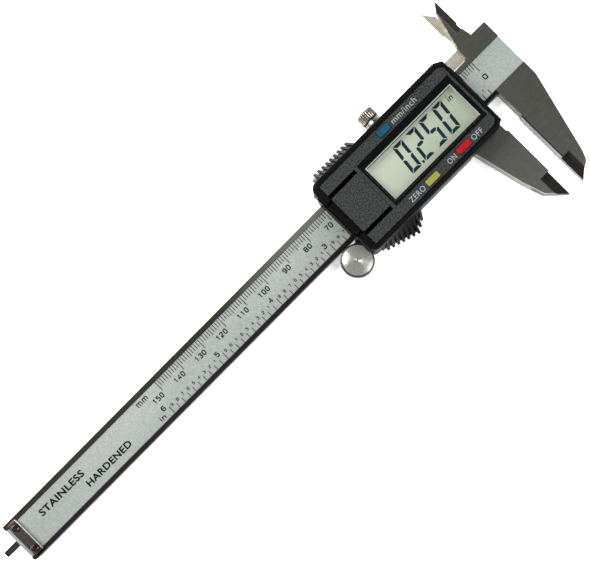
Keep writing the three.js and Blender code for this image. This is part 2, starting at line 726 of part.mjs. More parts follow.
// ---- display ----
function makeDisplay() {
  const { back, front } = BEZEL;
  const { rim } = WINDOW;
  const foot = back + WINDOW.foot;
  const windowHole = area(WINDOW, back - PAST, front + PAST, FIT);
  const windowSeat = area(WINDOW, back - PAST, foot + FIT, rim + FIT); // its wider foot can't pass the hole
  piece('display_bezel', cut(area(BEZEL, back, front), windowHole, windowSeat), 'gloss');
  const lens = join(area(WINDOW, back + 0.1, foot, rim), area(WINDOW, back + 0.1, front - 0.05));
  piece('display_window', lens, 'clear');
  piece('display_cell', area(CELL, CELL.back, CELL.front), 'display');

  const holder = area(HOLDER, BOARD.front + 0.05, CELL.front - 0.3);
  const room = area(CELL, BOARD.front - PAST, CELL.front + PAST, FIT);
  piece('display_holder', cut(holder, room), 'blackPlastic');
  const strips = [['upper', CELL.top - 1.8], ['lower', CELL.bottom + 0.1]];
  strips.forEach(([name, y]) => {
    const strip = block(
      CELL.left + 0.8, CELL.right - 0.8, y, y + 1.7, BOARD.front + 0.05, CELL.back - 0.05,
    );
    piece(`contact_strip_${name}`, strip, 'rubber');
  });
}

// ---- electronics ----
function makeBoard() {
  const { back, front } = BOARD;
  const sheet = plate([
    [-65.5, -8.2],
    [-44.5, -8.2],
    [-44.5, -14.8],
    [-17, -14.8],
    [-17, -8.2],
    [-10.1, -8.2],
    [-10.1, 7.6],
    [-31, 7.6],
    [-31, 10.8],
    [-44.5, 10.8],
    [-44.5, 7.6],
    [-65.5, 7.6],
  ], back, front);
  const sensor = block(-61, -12, STRIP.bottom + 0.35, STRIP.top - 0.25, BEAM.front + 0.12, back + 0.2);
  piece('main_board', join(sheet, sensor), 'board');
  piece('controller_chip', turned([
    [0, front + 0.05],
    [3, front + 0.05],
    [2.8, front + 0.6],
    [1.8, front + 1.1],
    [0, front + 1.3],
  ], -31.5, -2.3, 20), 'chip');
  const can = new THREE.CylinderGeometry(1, 1, 6, 16).rotateZ(Math.PI / 2).translate(-20, 0, front + 1.1);
  piece('clock_crystal', solid(can), 'chrome');
}

function makeButtons() {
  const { size, front } = SWITCH;
  BUTTONS.forEach(({ name, x, y, width, depth, material }) => {
    const cap = plate([
      [x - width / 2, y - depth / 2, 0.35],
      [x + width / 2, y - depth / 2, 0.35],
      [x + width / 2, y + depth / 2, 0.35],
      [x - width / 2, y + depth / 2, 0.35],
    ], BUTTON.flangeFront - 0.2, BUTTON.front, 3);
    const flange = block(
      x - width / 2 - 0.4, x + width / 2 + 0.4, y - depth / 2 - 0.35, y + depth / 2 + 0.35,
      BUTTON.flangeBack, BUTTON.flangeFront,
    );
    const stem = block(x - 1, x + 1, y - 0.9, y + 0.9, BUTTON.stemBack, BUTTON.flangeBack + 0.2);
    piece(name, join(cap, flange, stem), material);
    const half = size / 2;
    const base = block(x - half, x + half, y - half, y + half, BOARD.front + 0.05, front - 0.6);
    const plunger = round(0.8, x, y, front - 0.8, front, 16);
    piece(name.replace('button', 'switch'), join(base, plunger), 'chip');
  });
}

// ---- screws that hold the housing, from the back ----
function makeBackScrews() {
  BACK_SCREWS.forEach(([x, y], index) => {
    const { shank, head, headFront, tip } = BACK_SCREW;
    const screw = turned([
      [0, 0.1],
      [head, 0.1],
      [head, headFront - 0.35],
      [shank, headFront - 0.05],
      [shank, tip - 0.5],
      [0, tip],
    ], x, y, 20);
    const recess = join(
      block(x - 0.75, x + 0.75, y - 0.17, y + 0.17, -PAST, 0.55),
      block(x - 0.17, x + 0.17, y - 0.75, y + 0.75, -PAST, 0.55),
    );
    piece(`housing_screw_${index + 1}`, cut(screw, recess), 'steel');
  });
}

piece('beam', makeBeam(), 'steel');
makeScale();
makeStop();
piece('slider_frame', makeSliderFrame(), 'movingSteel');
makeGib();
makeDepthRod();
makeWheel();
makeLockScrew();
makeHousing();
makePanel();
makeDoor();
makeBattery();
makeDisplay();
makeBoard();
makeButtons();
makeBackScrews();

// ---- origin at the bottom centre of the whole model's box ----
const box = new THREE.Box3().setFromObject(caliper);
const centre = box.getCenter(new THREE.Vector3());
caliper.position.set(-centre.x, -centre.y, -box.min.z);

export default caliper;
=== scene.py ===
"""Digital caliper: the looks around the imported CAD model. Metres, in the CAD model's frame.

+X runs along the beam towards the jaws, +Y towards the inside jaws, +Z up out of the display.
"""
import json
import math

import bmesh
import bpy
from mathutils import Matrix, Vector


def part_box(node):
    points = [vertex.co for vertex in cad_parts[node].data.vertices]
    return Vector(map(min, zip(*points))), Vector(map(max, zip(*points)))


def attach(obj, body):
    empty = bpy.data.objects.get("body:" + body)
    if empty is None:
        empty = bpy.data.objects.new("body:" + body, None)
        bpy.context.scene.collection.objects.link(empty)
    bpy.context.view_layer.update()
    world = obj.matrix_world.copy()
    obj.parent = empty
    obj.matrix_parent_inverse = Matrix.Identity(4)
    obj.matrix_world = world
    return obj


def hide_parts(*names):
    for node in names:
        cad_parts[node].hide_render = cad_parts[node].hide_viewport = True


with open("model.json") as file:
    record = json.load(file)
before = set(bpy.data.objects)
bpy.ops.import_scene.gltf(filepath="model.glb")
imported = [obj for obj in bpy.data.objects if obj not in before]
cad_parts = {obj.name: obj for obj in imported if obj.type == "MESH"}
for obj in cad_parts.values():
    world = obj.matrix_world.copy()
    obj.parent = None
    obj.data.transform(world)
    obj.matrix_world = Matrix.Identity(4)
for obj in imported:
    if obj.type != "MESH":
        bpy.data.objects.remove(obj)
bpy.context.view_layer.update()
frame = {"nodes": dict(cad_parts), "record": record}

MM = 0.001
NODES = frame["nodes"]
MOUNTS = {m["name"]: Vector(m["pos_m"]) for m in frame["record"]["mounts"]}


def low(node):
    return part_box(node)[0]


def high(node):
    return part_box(node)[1]


def middle(node):
    return (low(node) + high(node)) / 2


# ---------------------------------------------------------------- places that much is measured from
ZERO_X = MOUNTS["fixed_jaw_face"].x  # the fixed outside jaw's measuring face
MID_Y = MOUNTS["fixed_jaw_face"].y + 30 * MM  # the beam's centre line; the mount lies 30 mm below it
HALF_BEAM = 8 * MM
BEAM_TOP, BEAM_LOW = MID_Y + HALF_BEAM, MID_Y - HALF_BEAM
BEAM_FRONT = 5 * MM
FAR = 1.0  # past the whole object


# ---------------------------------------------------------------- node materials
class Shader:
    """One procedural material. Its methods add a node and give back that node's output."""

    def __init__(self, name):
        self.material = bpy.data.materials.new(name)
        self.material.use_nodes = True
        self.tree = self.material.node_tree
        self.tree.nodes.clear()
        self.output = self.tree.nodes.new("ShaderNodeOutputMaterial")
        self.bsdf = self.tree.nodes.new("ShaderNodeBsdfPrincipled")
        self.tree.links.new(self.bsdf.outputs[0], self.output.inputs["Surface"])
        self.place = self.add("ShaderNodeTexCoord").outputs["Object"]

    def add(self, kind, **settings):
        node = self.tree.nodes.new(kind)
        for key, value in settings.items():
            setattr(node, key, value)
        return node

    def feed(self, socket, value):
        if isinstance(value, bpy.types.NodeSocket):
            self.tree.links.new(value, socket)
        else:
            socket.default_value = value

    def set(self, **values):
        """Sets the Principled shader's inputs, by name with _ for a space."""
        for key, value in values.items():
            self.feed(self.bsdf.inputs[key.replace("_", " ")], value)
        return self

    def math(self, operation, a, b=0.0, clamp=False):
        node = self.add("ShaderNodeMath", operation=operation, use_clamp=clamp)
        self.feed(node.inputs[0], a)
        self.feed(node.inputs[1], b)
        return node.outputs[0]

    def axis(self, name, place=None):
        node = self.add("ShaderNodeSeparateXYZ")
        self.feed(node.inputs[0], place or self.place)
        return node.outputs[name]

    def ramp(self, value, start, end, out=(0.0, 1.0)):
        """value going from start to end, smoothly, gives out[0] to out[1]."""
        node = self.add("ShaderNodeMapRange", interpolation_type="SMOOTHSTEP")
        for socket, number in zip(node.inputs, (value, start, end, *out)):
            self.feed(socket, number)
        return node.outputs[0]

    def scaled(self, scale, place=None, offset=(0, 0, 0)):
        node = self.add("ShaderNodeMapping")
        self.feed(node.inputs["Vector"], place or self.place)
        node.inputs["Location"].default_value = offset
        node.inputs["Scale"].default_value = scale
        return node.outputs[0]

    def noise(self, place, scale, detail=2.0, rough=0.5, distort=0.0):
        node = self.add("ShaderNodeTexNoise")
        self.feed(node.inputs["Vector"], place)
        node.inputs["Scale"].default_value = scale
        node.inputs["Detail"].default_value = detail
        node.inputs["Roughness"].default_value = rough
        node.inputs["Distortion"].default_value = distort
        return node.outputs[0]

    def mix(self, factor, a, b):
        node = self.add("ShaderNodeMix", data_type="RGBA")
        self.feed(node.inputs[0], factor)
        self.feed(node.inputs[6], a if isinstance(a, bpy.types.NodeSocket) else (*a, 1.0))
        self.feed(node.inputs[7], b if isinstance(b, bpy.types.NodeSocket) else (*b, 1.0))
        return node.outputs[2]

    def bump(self, height, distance, strength=1.0, below=None):
        node = self.add("ShaderNodeBump")
        self.feed(node.inputs["Height"], height)
        node.inputs["Distance"].default_value = distance
        node.inputs["Strength"].default_value = strength
        if below is not None:
            self.feed(node.inputs["Normal"], below)
        return node.outputs[0]


def linear(red, green, blue, share=1.0):
    """A linear colour from display values of 0 to 255, times share."""
    def channel(value):
        value /= 255
        return value / 12.92 if value <= 0.04045 else ((value + 0.055) / 1.055) ** 2.4
    return tuple(share * channel(v) for v in (red, green, blue))


def band(colour, **limits):
    """A stretch of another colour, for brushed(): for each axis, where it starts and ends and how softly."""
    return colour, limits


def brushed(name, base, along="X", roughness=(0.34, 0.42), blotch=0.12, grain=0.12, bands=()):
    """Ground and brushed metal, with fine scratches along X or Y, soft handling marks and bands."""
    s = Shader(name)
    stretch = {"X": (150, 3200, 3200), "Y": (3200, 150, 3200)}[along]
    lines = s.noise(s.scaled(stretch), 1.0, 3.0, 0.6)
    marks = s.noise(s.place, 330, 5.0, 0.62, 0.3)
    specks = s.noise(s.place, 2400, 3.0, 0.7)
    colour = s.mix(1.0, base, base)
    for shade, limits in bands:
        mask = 1.0
        for axis, (start, end, soft) in limits.items():
            value = s.axis(axis)
            rise = s.ramp(value, start - soft, start + soft)
            fall = s.ramp(value, end - soft, end + soft, (1.0, 0.0))
            mask = s.math("MULTIPLY", mask, s.math("MULTIPLY", rise, fall))
        colour = s.mix(mask, colour, shade)
    dark = s.math("MULTIPLY", s.ramp(lines, 0.25, 0.75, (1 - grain, 1 + grain)),
                  s.ramp(marks, 0.3, 0.7, (1 - blotch, 1 + blotch)))
    dark = s.math("MULTIPLY", dark, s.ramp(specks, 0.3, 0.7, (0.86, 1.13)))
    shaded = s.add("ShaderNodeVectorMath", operation="SCALE")
    s.feed(shaded.inputs[0], colour)
    s.feed(shaded.inputs["Scale"], dark)
    s.set(Base_Color=shaded.outputs[0], Metallic=1.0,
          Roughness=s.ramp(marks, 0.2, 0.8, roughness[::-1]), Normal=s.bump(lines, 0.0008 * MM, 0.5))
    return s.material


def plastic(name, colour, roughness, grain=0.0, grain_scale=2500, gloss=0.5, scuff=0.12, depth=0.03):
    """Moulded plastic with a faint texture and slight unevenness of gloss."""
    s = Shader(name)
    wave = s.noise(s.place, 260, 3.0, 0.55)
    fine = s.noise(s.place, grain_scale, 3.0, 0.65)
    lighter = tuple(min(1.0, c * (1 + grain) + 0.006 * grain) for c in colour)
    darker = tuple(c * (1 - grain) for c in colour)
    s.set(Base_Color=s.mix(s.ramp(fine, 0.3, 0.7), darker, lighter),
          Roughness=s.ramp(wave, 0.3, 0.7, (roughness * (1 - scuff), roughness * (1 + scuff))),
          Normal=s.bump(fine, depth * MM, 0.35), Specular_IOR_Level=gloss)
    return s.material


# ---------------------------------------------------------------- colours, linear
LABEL = linear(172, 180, 175, 0.6)
INK = linear(8, 10, 11)
BLACK = (0.0035, 0.0035, 0.004)
PANEL = linear(36, 39, 38)
PRINT = linear(132, 138, 138)
SEGMENT = linear(2, 28, 40)
STEEL = (0.165, 0.164, 0.145)


# ---------------------------------------------------------------- materials
UPPER_STRIP = BEAM_TOP - 2.3 * MM  # the bare steel above the scale starts here
LOWER_STRIP = BEAM_LOW + 1.7 * MM  # the bare steel below the scale ends here
# painted shade: the ground faces at the jaw tips are painted near black
GROUND_TIP_SHADE = band((0.04, 0.036, 0.032), Y=(-FAR, MID_Y - 37.9 * MM, 0.15 * MM),
                 Z=(-FAR, BEAM_FRONT - 1 * MM, 0.4 * MM))
beam_steel = brushed("beam_steel", STEEL, "X", bands=[
    # painted reflection: the strip above the scale is painted paler behind the jaws and darkest at the tail,
    # for the surround it reflects
    band((0.2, 0.2, 0.19), Y=(UPPER_STRIP, FAR, 0.05 * MM), X=(-FAR, ZERO_X - 20 * MM, 9 * MM)),
    band((0.03, 0.03, 0.026), Y=(UPPER_STRIP, FAR, 0.05 * MM), X=(-FAR, ZERO_X - 97 * MM, 26 * MM)),
    # painted shade: the strip below the scale, with the beam's lower side, is painted near black against the
    # pale surround it reflects
    band((0.022, 0.021, 0.02), Y=(-FAR, LOWER_STRIP, 0.05 * MM), X=(-FAR, ZERO_X + 0.4 * MM, 0.1 * MM)),
    # painted shade: the horn's ground side is painted near black
    band((0.04, 0.037, 0.033), Y=(MID_Y + 15.9 * MM, FAR, 0.1 * MM),
         Z=(-FAR, BEAM_FRONT - 0.1 * MM, 0.05 * MM)),
    # painted highlight: the beam's upper chamfer in pale cream, as if catching the light
    band((0.72, 0.66, 0.53), Y=(BEAM_TOP - 0.45 * MM, BEAM_TOP + 0.2 * MM, 0.05 * MM),
         Z=(BEAM_FRONT - 0.4 * MM, BEAM_FRONT - 0.01 * MM, 0.02 * MM), X=(-FAR, ZERO_X, 0.1 * MM)),
    GROUND_TIP_SHADE,
    # painted light: the lapped measuring face is painted paler than the steel round it
    band((0.24, 0.225, 0.245), X=(ZERO_X - 0.06 * MM, ZERO_X + 0.06 * MM, 0.02 * MM),
         Y=(-FAR, MID_Y - 18.9 * MM, 0.1 * MM)),
])
slide_steel = brushed("slide_steel", (0.2, 0.2, 0.178), "Y", blotch=0.18, bands=[
    # painted reflection: pale cream on the moving horn and the frame's upper edge
    band((0.95, 0.88, 0.74), Y=(BEAM_TOP, FAR, 0.1 * MM)),  # the moving horn and the frame's upper edge
    GROUND_TIP_SHADE,
])
stop_right = high("stop_plate").x
stop_steel = brushed("stop_steel", (0.07, 0.062, 0.06), "Y", roughness=(0.3, 0.4), bands=[
    # painted highlight: a pale line along the stop plate's right edge
    band((0.9, 0.86, 0.84), X=(stop_right - 0.2 * MM, FAR, 0.04 * MM)),
])
part_steel = brushed("part_steel", (0.42, 0.41, 0.39), "X", roughness=(0.25, 0.4))
rod_steel = brushed("rod_steel", (0.05, 0.05, 0.052), "X", roughness=(0.25, 0.38))
screw_steel = brushed("screw_steel", (0.055, 0.034, 0.036), "Y", roughness=(0.14, 0.22), blotch=0.3)
chrome = brushed("chrome_plate", (0.78, 0.76, 0.72), "Y", roughness=(0.1, 0.2), blotch=0.1, grain=0.05)
brass = brushed("brass_sheet", (0.62, 0.45, 0.2), "X", roughness=(0.3, 0.4))
black_gloss = plastic("black_moulding", BLACK, 0.3, grain=0.25, depth=0.004, gloss=0.008)
bezel_gloss = plastic("black_bezel", (0.003, 0.003, 0.0035), 0.2, grain=0.1, depth=0.0, gloss=0.06)
panel_grain = plastic("panel_grain", PANEL, 0.6, grain=0.9, grain_scale=2000, depth=0.05, gloss=0.14)
chip_black = plastic("chip_black", (0.012, 0.012, 0.013), 0.45, grain=0.2)
rubber = plastic("contact_rubber", (0.035, 0.037, 0.04), 0.75, grain=0.25)
board_green = plastic("board_green", (0.03, 0.13, 0.05), 0.38, grain=0.18, grain_scale=900)
blue = plastic("button_blue", linear(30, 108, 150, 0.3), 0.4, grain=0.1, scuff=0.2, gloss=0.25)
yellow = plastic("button_yellow", linear(176, 176, 82, 0.42), 0.4, grain=0.1, scuff=0.2, gloss=0.25)
red = plastic("button_red", linear(200, 8, 22, 0.44), 0.4, grain=0.1, scuff=0.2, gloss=0.25)
ink_black = plastic("ink_black", INK, 0.5, grain=0.1, gloss=0.04)
ink_light = plastic("ink_light", PRINT, 0.5, grain=0.06, gloss=0.1)
segment_ink = plastic("segment_ink", SEGMENT, 0.35, grain=0.08, gloss=0.04)
# painted highlight: the pale grey of the window's edge line
painted_rim_highlight = plastic("painted_rim_highlight", linear(132, 137, 134), 0.35, grain=0.05)


def label_film():
    """The scale's satin metallic film, with painted shade that makes it slightly darker towards the tail."""
    s = Shader("label_film")
    speck = s.noise(s.place, 2600, 3.0, 0.75)
    cloud = s.noise(s.scaled((14, 40, 40)), 1.0, 3.0, 0.5)
    tone_and_shade = s.math("MULTIPLY", s.ramp(speck, 0.3, 0.7, (0.78, 1.2)), s.ramp(cloud, 0.3, 0.7, (0.94, 1.05)))
    # painted shade: the film is darkened towards the tail
    tone_and_shade = s.math("MULTIPLY", tone_and_shade, s.ramp(s.axis("X"), ZERO_X - 215 * MM, ZERO_X - 90 * MM, (0.88, 1.0)))
    shaded = s.add("ShaderNodeVectorMath", operation="SCALE")
    shaded.inputs[0].default_value = LABEL
    s.feed(shaded.inputs["Scale"], tone_and_shade)
    s.set(Base_Color=shaded.outputs[0], Metallic=0.25,
          Roughness=s.ramp(cloud, 0.3, 0.7, (0.36, 0.46)), Normal=s.bump(speck, 0.006 * MM, 0.5))
    return s.material


def display_glass():
    """The display: pale green-grey, with painted light: palest at its upper left, and a painted glow that
    lifts the shade under the window.
    """
    s = Shader("display_glass")
    left, right = low("display_cell"), high("display_cell")
    across = s.ramp(s.axis("X"), left.x, right.x)
    down = s.ramp(s.axis("Y"), right.y, left.y)
    # painted light: the display is painted palest at its upper left and darker towards its lower right
    painted_light_fade = s.math("ADD", s.math("MULTIPLY", across, 0.75), s.math("MULTIPLY", down, 0.45), clamp=True)
    speck = s.noise(s.place, 6000, 2.0, 0.6)
    colour = s.mix(painted_light_fade, linear(212, 222, 200, 0.4), linear(182, 194, 172, 0.4))
    shaded = s.add("ShaderNodeVectorMath", operation="SCALE")
    s.feed(shaded.inputs[0], colour)
    s.feed(shaded.inputs["Scale"], s.ramp(speck, 0.3, 0.7, (0.96, 1.03)))
    # painted light: the emission makes the display glow, to lift the shade in the deep window
    s.set(Base_Color=shaded.outputs[0], Roughness=0.3, Normal=s.bump(speck, 0.003 * MM, 0.3),
          Emission_Color=shaded.outputs[0], Emission_Strength=0.95)
    return s.material


def clear_window():
    """A thin clear window: it lets the display show and keeps a surface gloss."""
    s = Shader("clear_window")
    smudge = s.noise(s.place, 90, 4.0, 0.6)
    s.set(Base_Color=(0.05, 0.055, 0.05, 1.0), Roughness=s.ramp(smudge, 0.3, 0.7, (0.03, 0.08)),
          Specular_IOR_Level=0.25, Alpha=0.07)
    return s.material


label_material = label_film()
display_material = display_glass()
window_material = clear_window()


# ---------------------------------------------------------------- CAD nodes: edges and finish
def crease_group(angle):
    """Geometry nodes that smooth a mesh but keep edges sharper than angle."""
    tree = bpy.data.node_groups.new("creases", "GeometryNodeTree")
    tree.interface.new_socket("Geometry", in_out="INPUT", socket_type="NodeSocketGeometry")
    tree.interface.new_socket("Geometry", in_out="OUTPUT", socket_type="NodeSocketGeometry")
    start = tree.nodes.new("NodeGroupInput")
    end = tree.nodes.new("NodeGroupOutput")
    smooth = tree.nodes.new("GeometryNodeSetShadeSmooth")
    crease = tree.nodes.new("GeometryNodeSetShadeSmooth")
    crease.domain = "EDGE"
    crease.inputs["Shade Smooth"].default_value = False
    bend = tree.nodes.new("GeometryNodeInputMeshEdgeAngle")
    sharp = tree.nodes.new("FunctionNodeCompare")
    sharp.data_type = "FLOAT"
    sharp.operation = "GREATER_THAN"
    sharp.inputs[1].default_value = angle
    tree.links.new(bend.outputs[0], sharp.inputs[0])
    tree.links.new(start.outputs[0], smooth.inputs[0])
    tree.links.new(smooth.outputs[0], crease.inputs[0])
    tree.links.new(sharp.outputs[0], crease.inputs["Selection"])
    tree.links.new(crease.outputs[0], end.inputs[0])
    return tree


CREASES = crease_group(math.radians(42))
STEEL_CREASES = crease_group(math.radians(10))  # keeps ground faces flat up to their edges
SCREW_BEVEL = PART_BEVEL = 0.05  # mm


def dress(obj, material, bevel, creases=CREASES):
    """Gives a CAD node its material and rounds its edges by bevel, in mm."""
    obj.data.materials.clear()
    obj.data.materials.append(material)
    weld = obj.modifiers.new("weld", "WELD")
    weld.merge_threshold = 1e-6
    if bevel:
        edge = obj.modifiers.new("bevel", "BEVEL")
        edge.width = bevel * MM
        edge.segments = 2
        edge.limit_method = "ANGLE"
        edge.angle_limit = math.radians(32)
        edge.use_clamp_overlap = True
        edge.miter_outer = "MITER_ARC"
    crease = obj.modifiers.new("creases", "NODES")
    crease.node_group = creases
    normals = obj.modifiers.new("normals", "WEIGHTED_NORMAL")
    normals.keep_sharp = True


# material, bevel in mm and, on ground steel, its own creases
FINISH = {
    "beam": (beam_steel, 0.12, STEEL_CREASES),
    "stator_board": (board_green, 0),
    "scale_label": (label_material, 0),
    "stop_plate": (stop_steel, 0.12),
    "slider_frame": (slide_steel, 0.12, STEEL_CREASES),
    "gib_strip": (brass, 0.05),
    "depth_rod": (rod_steel, 0.1),
    "wheel_bracket": (part_steel, 0.1),
    "wheel_axle": (part_steel, 0.08),
    "housing": (black_gloss, 0.12),
    "face_panel": (panel_grain, 0.08),
    "battery_door": (panel_grain, 0.12),
    "battery": (chrome, 0.1),
    "battery_contact_minus": (brass, 0),
    "battery_contact_plus": (brass, 0),
    "display_bezel": (bezel_gloss, 0.15),
    "display_window": (window_material, 0),
    "display_cell": (display_material, 0),
    "display_holder": (black_gloss, 0),
    "contact_strip_upper": (rubber, 0),
    "contact_strip_lower": (rubber, 0),
    "main_board": (board_green, 0),
    "controller_chip": (chip_black, 0),
    "clock_crystal": (chrome, 0.1),
    "button_mm_inch": (blue, 0.16),
    "button_zero": (yellow, 0.16),
    "button_on_off": (red, 0.16),
    "switch_mm_inch": (chip_black, 0.05),
    "switch_zero": (chip_black, 0.05),
    "switch_on_off": (chip_black, 0.05),
}
for name, obj in NODES.items():
    if "screw" in name:
        dress(obj, screw_steel, SCREW_BEVEL)
    elif name in FINISH:
        dress(obj, *FINISH[name])
    else:
        dress(obj, part_steel, PART_BEVEL)


# ---------------------------------------------------------------- new pieces
def piece(name, mesh, material, body):
    """Adds a new piece, which rides on a body and takes the given material."""
    obj = bpy.data.objects.new(name, mesh)
    bpy.context.scene.collection.objects.link(obj)
    mesh.materials.clear()
    mesh.materials.append(material)
    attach(obj, body)
    return obj


def prisms(name, outlines, floor, roof):
    """A mesh of upright prisms, one for each outline of (x, y) corners."""
    shape = bmesh.new()
    for outline in outlines:
        lower = [shape.verts.new((x, y, floor)) for x, y in outline]
        upper = [shape.verts.new((x, y, roof)) for x, y in outline]
        shape.faces.new(lower[::-1])
        shape.faces.new(upper)
        for i in range(len(outline)):
            j = (i + 1) % len(outline)
            shape.faces.new((lower[i], lower[j], upper[j], upper[i]))
    bmesh.ops.recalc_face_normals(shape, faces=shape.faces)
    mesh = bpy.data.meshes.new(name)
    shape.to_mesh(mesh)
    shape.free()
    return mesh


def rectangle(left, right, bottom, top):
    return [(left, bottom), (right, bottom), (right, top), (left, top)]


GLYPHS = {}


def glyph_mesh(text, bold):
    """A flat solid of the text, 1 high and 1 thick, with its left foot at the origin."""
    if (text, bold) not in GLYPHS:
        curve = bpy.data.curves.new("lettering", "FONT")
        curve.body = text
        curve.extrude = 0.5
        curve.offset = bold
        curve.resolution_u = 3
        curve.space_character = 1.08
        carrier = bpy.data.objects.new("lettering", curve)
        bpy.context.scene.collection.objects.link(carrier)
        bpy.context.view_layer.update()
        solid = carrier.evaluated_get(bpy.context.evaluated_depsgraph_get())
        mesh = bpy.data.meshes.new_from_object(solid)
        bpy.data.objects.remove(carrier)
        xs, ys = [v.co.x for v in mesh.vertices], [v.co.y for v in mesh.vertices]
        tall = max(ys) - min(ys)
        mesh.transform(Matrix.Translation((-min(xs), -min(ys), 0)))
        mesh.transform(Matrix.Diagonal((1 / tall, 1 / tall, 1, 1)))
        GLYPHS[text, bold] = (mesh, (max(xs) - min(xs)) / tall)
    return GLYPHS[text, bold]


def lettering(shape, text, left, bottom, wide, tall, roof, thick, bold=0.0):
    """Adds raised text to a bmesh, wide by tall, with its left foot at (left, bottom)."""
    mesh, ratio = glyph_mesh(text, bold)
    copy = mesh.copy()
    size = Matrix.Diagonal((wide / ratio, tall, thick, 1))
    copy.transform(Matrix.Translation((left, bottom, roof - thick / 2)) @ size)
    shape.from_mesh(copy)
    bpy.data.meshes.remove(copy)


# ---- numbers drawn with strokes of one width
# Each digit is a list of (closed, path), and a path runs through points in a box 1 wide and 1 tall.
CUT_X, CUT_Y = 0.2, 0.13  # how far a round corner is cut off
ROUND_BOX = [
    (CUT_X, 0), (1 - CUT_X, 0), (1, CUT_Y), (1, 1 - CUT_Y),
    (1 - CUT_X, 1), (CUT_X, 1), (0, 1 - CUT_Y), (0, CUT_Y),
]
SIX = [
    (0.97, 0.85), (0.8, 1), (0.2, 1), (0, 0.85), (0, 0.15), (0.2, 0),
    (0.8, 0), (1, 0.15), (1, 0.44), (0.8, 0.58), (0.2, 0.58), (0, 0.46),
]
DIGITS = {
    "0": [(True, ROUND_BOX)],
    "1": [(False, [(0.1, 0.74), (0.55, 1), (0.55, 0)])],
    "2": [(False, [(0, 0.82), (0.2, 1), (0.8, 1), (1, 0.84), (1, 0.62), (0, 0.16), (0, 0), (1, 0)])],
    "3": [(False, [(0, 0.84), (0.2, 1), (0.8, 1), (1, 0.86), (1, 0.66), (0.8, 0.53), (0.35, 0.53)]),
          (False, [(0.8, 0.53), (1, 0.4), (1, 0.15), (0.8, 0), (0.2, 0), (0, 0.16)])],
    "4": [(False, [(0.78, 0), (0.78, 1), (0, 0.3), (1.05, 0.3)])],
    "5": [(False, [(0.95, 1), (0.05, 1), (0.05, 0.6), (0.8, 0.6), (1, 0.46), (1, 0.15), (0.8, 0), (0.2, 0),
                   (0, 0.14)])],
    "6": [(False, SIX)],
    "7": [(False, [(0, 1), (1, 1), (0.35, 0)])],
    "8": [(True, [(0.2, 0), (0.8, 0), (1, 0.13), (1, 0.4), (0.8, 0.53), (0.2, 0.53), (0, 0.4), (0, 0.13)]),
          (False, [(0.2, 0.53), (0, 0.66), (0, 0.87), (0.2, 1), (0.8, 1), (1, 0.87), (1, 0.66),
                   (0.8, 0.53)])],
    "9": [(False, [(1 - x, 1 - y) for x, y in SIX])],
}


def ribbon(points, width, closed):
    """Four-cornered outlines that together draw a line of one width along the points."""
    count = len(points)
    edges = []
    for i, point in enumerate(points):
        before = points[i - 1] if closed or i > 0 else None
        after = points[(i + 1) % count] if closed or i < count - 1 else None
        strokes = [(a, b) for a, b in ((before, point), (point, after)) if a is not None and b is not None]
        ways = [(b - a).normalized() for a, b in strokes]
        sides = [Vector((-way.y, way.x)) for way in ways]
        side = sum(sides, Vector((0, 0))).normalized()
        reach = width / 2 / max(0.5, side.dot(sides[0]))
        edges.append((point + side * reach, point - side * reach))
    last = count if closed else count - 1
    outlines = []
    for i in range(last):
        (a, b), (c, d) = edges[i], edges[(i + 1) % count]
        outlines.append([tuple(b), tuple(d), tuple(c), tuple(a)])
    return outlines


def number(text, left, bottom, wide, tall, stroke, gap):
    """Outlines of a number, wide by tall, with its left foot at (left, bottom)."""
    each = (wide - gap * (len(text) - 1)) / len(text)
    inner = (each - stroke, tall - stroke)
    outlines = []
    for i, figure in enumerate(text):
        foot = Vector((left + i * (each + gap) + stroke / 2, bottom + stroke / 2))
        for closed, path in DIGITS[figure]:
            points = [foot + Vector((x * inner[0], y * inner[1])) for x, y in path]
            outlines += ribbon(points, stroke, closed)
    return outlines


X_TALL = 0.66  # how tall an n or an i's stem is, as a share of a line of small letters
DOT_FOOT = 0.84  # where an i's dot starts


def letters(text, left, bottom, wide, tall, stroke, gap):
    """Outlines of small letters i, m and n; an i is as wide as its stroke, and an m fills the height."""
    room = wide - gap * (len(text) - 1) - stroke * text.count("i")
    each = room / max(1, len(text) - text.count("i"))
    outlines = []
    x = left + stroke / 2
    for figure in text:
        if figure == "i":
            for start, end in ((0, X_TALL), (DOT_FOOT, 1)):
                ends = [Vector((x, bottom + tall * start)), Vector((x, bottom + tall * end))]
                outlines += ribbon(ends, stroke, False)
            x += stroke + gap
            continue
        top = bottom + (tall if figure == "m" else tall * X_TALL) - stroke / 2
        far = x + each - stroke
        foot = [Vector((far, bottom)), Vector((far, top - stroke * 0.6)), Vector((far - stroke * 0.5, top))]
        outlines += ribbon(foot + [Vector((x, top)), Vector((x, bottom))], stroke, False)
        if figure == "m":
            half = (x + far) / 2
            outlines += ribbon([Vector((half, bottom)), Vector((half, top))], stroke, False)
        x += each + gap
    return outlines


# ---- the printed scale
PRINT_THICK = 0.015 * MM
PRINT_SINK = 0.005 * MM  # how far the print reaches into the film
HALF_LINE = 0.13 * MM
SCALE_ZERO = ZERO_X + 1.15 * MM
INCH_TENTH = 2.54 * MM
DIGIT_TALL, DIGIT_STROKE = 1.9 * MM, 0.38 * MM  # the tens of millimetres and the inches
SMALL_TALL, SMALL_STROKE = 1.15 * MM, 0.22 * MM  # the tenths of an inch


def graduations(bottom, top):
    """Outlines of the millimetre lines, down from top, and of the inch lines, up from bottom."""
    outlines = []
    for i in range(151):
        long = 3.95 if i % 10 == 0 else 2.8 if i % 5 == 0 else 2.3
        x = SCALE_ZERO - i * MM
        outlines.append(rectangle(x - HALF_LINE, x + HALF_LINE, top - long * MM, top))
    for i in range(1, 61):
        long = 2.85 if i % 10 == 0 else 1.85
        x = SCALE_ZERO - i * INCH_TENTH
        outlines.append(rectangle(x - HALF_LINE, x + HALF_LINE, bottom, bottom + long * MM))
    return outlines


